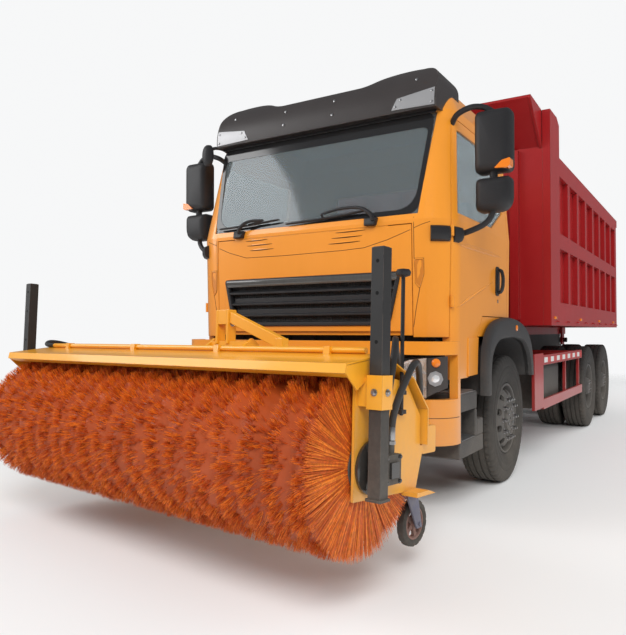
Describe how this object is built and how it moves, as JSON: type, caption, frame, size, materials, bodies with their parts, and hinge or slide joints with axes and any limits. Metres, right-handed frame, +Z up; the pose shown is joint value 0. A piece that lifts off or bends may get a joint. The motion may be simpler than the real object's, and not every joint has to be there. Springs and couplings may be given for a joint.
{
  "type": "tipper truck with front snow broom",
  "caption": "Forward-control tipper truck with a ribbed tipping body, telescopic front hoist and a front-mounted rotary snow broom on a lift and yaw hitch.",
  "frame": {"origin": "bottom centre of the whole vehicle's box with its broom, on the road; the truck's own centre plane is at X = +0.12 m", "axes": "+Z up, -Y forwards, +X to the vehicle's left"},
  "size_m": [3.2513, 9.9147, 3.61],
  "materials": {
    "cab_paint": "gloss orange-yellow",
    "body_red": "gloss red",
    "broom_yellow": "satin yellow",
    "frame_dark": "satin black",
    "running_gear": "cast",
    "trim_black": "grained",
    "interior_grey": "matt",
    "glass": "clear",
    "lamp": "clear lens",
    "tyre": "black rubber",
    "rim_grey": "dark grey",
    "ram_steel": "polished",
    "bristle": "orange bristle",
    "motor_black": "black",
    "hose_rubber": "black hose",
    "fork_blue": "navy blue",
    "caster_rubber": "black"
  },
  "bodies": {
    "chassis": {"chassis_frame": "frame_dark", "engine_block": "running_gear", "axles": "running_gear", "tanks": "frame_dark", "side_guards": "body_red", "front_arches": "trim_black", "cab_shell": "cab_paint", "cab_glass": "glass", "roof_visor": "trim_black", "cab_interior": "interior_grey", "front_bumper": "cab_paint", "headlamps": "lamp", "hitch_frame": "broom_yellow"},
    "front_flap": {"front_flap": "cab_paint", "grille": "trim_black"},
    "bed": {"bed_floor": "body_red", "bed_sides": "body_red", "bed_front": "body_red"},
    "tailgate": {"tailgate": "body_red"},
    "hoist_barrel": {"hoist_barrel": "frame_dark"},
    "hoist_stage_1": {"hoist_stage_1": "ram_steel"},
    "hoist_stage_2": {"hoist_stage_2": "ram_steel"},
    "hoist_stage_3": {"hoist_stage_3": "ram_steel"},
    "hoist_stage_4": {"hoist_stage_4": "ram_steel"},
    "lift_frame": {"lift_frame": "broom_yellow"},
    "lift_barrel": {"lift_barrel": "frame_dark"},
    "lift_rod": {"lift_rod": "ram_steel"},
    "broom": {"broom_frame": "broom_yellow", "broom_hood": "broom_yellow", "motors": "motor_black", "hose_pressure": "hose_rubber", "hose_return": "hose_rubber", "hose_far": "hose_rubber"},
    "brush": {"brush": "bristle"},
    "knuckle_left": {"knuckle_left": "running_gear"},
    "wheel_front_left": {"tyre_front_left": "tyre", "rim_front_left": "rim_grey"},
    "wheel_rear_1_left": {"tyre_rear_1_left": "tyre", "rim_rear_1_left": "rim_grey"},
    "wheel_rear_2_left": {"tyre_rear_2_left": "tyre", "rim_rear_2_left": "rim_grey"},
    "door_left": {"door_left": "cab_paint", "door_glass_left": "glass", "mirror_left": "trim_black"},
    "leg_left": {"leg_left": "frame_dark"},
    "caster_fork_left": {"caster_fork_left": "fork_blue"},
    "caster_wheel_left": {"caster_wheel_left": "caster_rubber"},
    "knuckle_right": {"knuckle_right": "running_gear"},
    "wheel_front_right": {"tyre_front_right": "tyre", "rim_front_right": "rim_grey"},
    "wheel_rear_1_right": {"tyre_rear_1_right": "tyre", "rim_rear_1_right": "rim_grey"},
    "wheel_rear_2_right": {"tyre_rear_2_right": "tyre", "rim_rear_2_right": "rim_grey"},
    "door_right": {"door_right": "cab_paint", "door_glass_right": "glass", "mirror_right": "trim_black"},
    "leg_right": {"leg_right": "frame_dark"},
    "caster_fork_right": {"caster_fork_right": "fork_blue"},
    "caster_wheel_right": {"caster_wheel_right": "caster_rubber"}
  },
  "joints": [
    {"name": "steer_left", "type": "hinge", "parent": "chassis", "child": "knuckle_left", "pos_m": [0.92, -1.567, 0.482], "axis": [0, 0, 1], "range_deg": [-30, 30]},
    {"name": "wheel_front_left_spin", "type": "hinge", "parent": "knuckle_left", "child": "wheel_front_left", "pos_m": [1.14, -1.567, 0.542], "axis": [1, 0, 0], "continuous": true},
    {"name": "wheel_rear_1_left_spin", "type": "hinge", "parent": "chassis", "child": "wheel_rear_1_left", "pos_m": [1.035, 2.258, 0.542], "axis": [1, 0, 0], "continuous": true},
    {"name": "wheel_rear_2_left_spin", "type": "hinge", "parent": "chassis", "child": "wheel_rear_2_left", "pos_m": [1.035, 3.608, 0.542], "axis": [1, 0, 0], "continuous": true},
    {"name": "door_left_hinge", "type": "hinge", "parent": "chassis", "child": "door_left", "pos_m": [1.246, -2.857, 1.9], "axis": [0, 0, -1], "range_deg": [0, 70]},
    {"name": "leg_left_slide", "type": "slide", "parent": "broom", "child": "leg_left", "axis": [0, -0.0436, -0.999], "range_m": [0, 0.45]},
    {"name": "caster_left_swivel", "type": "hinge", "parent": "broom", "child": "caster_fork_left", "pos_m": [1.39641, -4.00349, 0.4939], "axis": [0, 0.0436, 0.999], "continuous": true},
    {"name": "caster_left_spin", "type": "hinge", "parent": "caster_fork_left", "child": "caster_wheel_left", "pos_m": [1.40554, -3.94414, 0.26209], "axis": [0.9914, -0.1304, 0.0057], "continuous": true},
    {"name": "steer_right", "type": "hinge", "parent": "chassis", "child": "knuckle_right", "pos_m": [-0.68, -1.567, 0.482], "axis": [0, 0, 1], "range_deg": [-30, 30]},
    {"name": "wheel_front_right_spin", "type": "hinge", "parent": "knuckle_right", "child": "wheel_front_right", "pos_m": [-0.9, -1.567, 0.542], "axis": [1, 0, 0], "continuous": true},
    {"name": "wheel_rear_1_right_spin", "type": "hinge", "parent": "chassis", "child": "wheel_rear_1_right", "pos_m": [-0.795, 2.258, 0.542], "axis": [1, 0, 0], "continuous": true},
    {"name": "wheel_rear_2_right_spin", "type": "hinge", "parent": "chassis", "child": "wheel_rear_2_right", "pos_m": [-0.795, 3.608, 0.542], "axis": [1, 0, 0], "continuous": true},
    {"name": "door_right_hinge", "type": "hinge", "parent": "chassis", "child": "door_right", "pos_m": [-1.006, -2.857, 1.9], "axis": [0, 0, 1], "range_deg": [0, 70]},
    {"name": "leg_right_slide", "type": "slide", "parent": "broom", "child": "leg_right", "axis": [0, -0.0436, -0.999], "range_m": [0, 0.45]},
    {"name": "caster_right_swivel", "type": "hinge", "parent": "broom", "child": "caster_fork_right", "pos_m": [-1.25273, -3.65505, 0.47869], "axis": [0, 0.0436, 0.999], "continuous": true},
    {"name": "caster_right_spin", "type": "hinge", "parent": "caster_fork_right", "child": "caster_wheel_right", "pos_m": [-1.2436, -3.59571, 0.24688], "axis": [0.9914, -0.1304, 0.0057], "continuous": true},
    {"name": "flap_hinge", "type": "hinge", "parent": "chassis", "child": "front_flap", "pos_m": [0.12, -2.998, 2.0487], "axis": [-1, 0, 0], "range_deg": [0, 75]},
    {"name": "bed_tilt", "type": "hinge", "parent": "chassis", "child": "bed", "pos_m": [0.12, 4.433, 1.14], "axis": [-1, 0, 0], "range_deg": [0, 45]},
    {"name": "tailgate_hinge", "type": "hinge", "parent": "bed", "child": "tailgate", "pos_m": [0.12, 4.878, 3.125], "axis": [1, 0, 0], "range_deg": [0, 60]},
    {"name": "hoist_swing", "type": "hinge", "parent": "chassis", "child": "hoist_barrel", "pos_m": [0.12, -0.86012, 0.90041], "axis": [-1, 0, 0], "range_deg": [0, 22.6]},
    {"name": "hoist_stage_1_slide", "type": "slide", "parent": "hoist_barrel", "child": "hoist_stage_1", "axis": [0, 0.0876, 0.9962], "range_m": [0, 0.9811]},
    {"name": "hoist_stage_2_slide", "type": "slide", "parent": "hoist_stage_1", "child": "hoist_stage_2", "axis": [0, 0.0876, 0.9962], "range_m": [0, 0.9811]},
    {"name": "hoist_stage_3_slide", "type": "slide", "parent": "hoist_stage_2", "child": "hoist_stage_3", "axis": [0, 0.0876, 0.9962], "range_m": [0, 0.9811]},
    {"name": "hoist_stage_4_slide", "type": "slide", "parent": "hoist_stage_3", "child": "hoist_stage_4", "axis": [0, 0.0876, 0.9962], "range_m": [0, 0.9811]},
    {"name": "broom_lift", "type": "hinge", "parent": "chassis", "child": "lift_frame", "pos_m": [0.12, -3.227, 0.46], "axis": [1, 0, 0], "range_deg": [0, 7]},
    {"name": "lift_ram_swing", "type": "hinge", "parent": "chassis", "child": "lift_barrel", "pos_m": [0.12, -3.239, 1.07], "axis": [1, 0, 0], "range_deg": [-2, 2]},
    {"name": "lift_ram_slide", "type": "slide", "parent": "lift_barrel", "child": "lift_rod", "axis": [0, -0.1474, -0.9891], "range_m": [0, 0.0149]},
    {"name": "broom_yaw", "type": "hinge", "parent": "lift_frame", "child": "broom", "pos_m": [0.12, -3.46377, 0.47034], "axis": [0, 0.0436, 0.999], "range_deg": [-12.5, 27.5]},
    {"name": "brush_spin", "type": "hinge", "parent": "broom", "child": "brush", "pos_m": [0.00005, -4.36715, 0.66793], "axis": [0.9914, -0.1304, 0.0057], "continuous": true}
  ],
  "couplings": [
    {"joint": "steer_right", "follows": "steer_left", "ratio": 1},
    {"joint": "hoist_swing", "follows": "bed_tilt", "ratio": 0.5},
    {"joint": "hoist_stage_1_slide", "follows": "bed_tilt", "m_per_rad": 1.2454},
    {"joint": "hoist_stage_2_slide", "follows": "bed_tilt", "m_per_rad": 1.2454},
    {"joint": "hoist_stage_3_slide", "follows": "bed_tilt", "m_per_rad": 1.2454},
    {"joint": "hoist_stage_4_slide", "follows": "bed_tilt", "m_per_rad": 1.2454},
    {"joint": "lift_ram_swing", "follows": "broom_lift", "ratio": -0.096217},
    {"joint": "lift_ram_slide", "follows": "broom_lift", "m_per_rad": 0.10548}
  ]
}
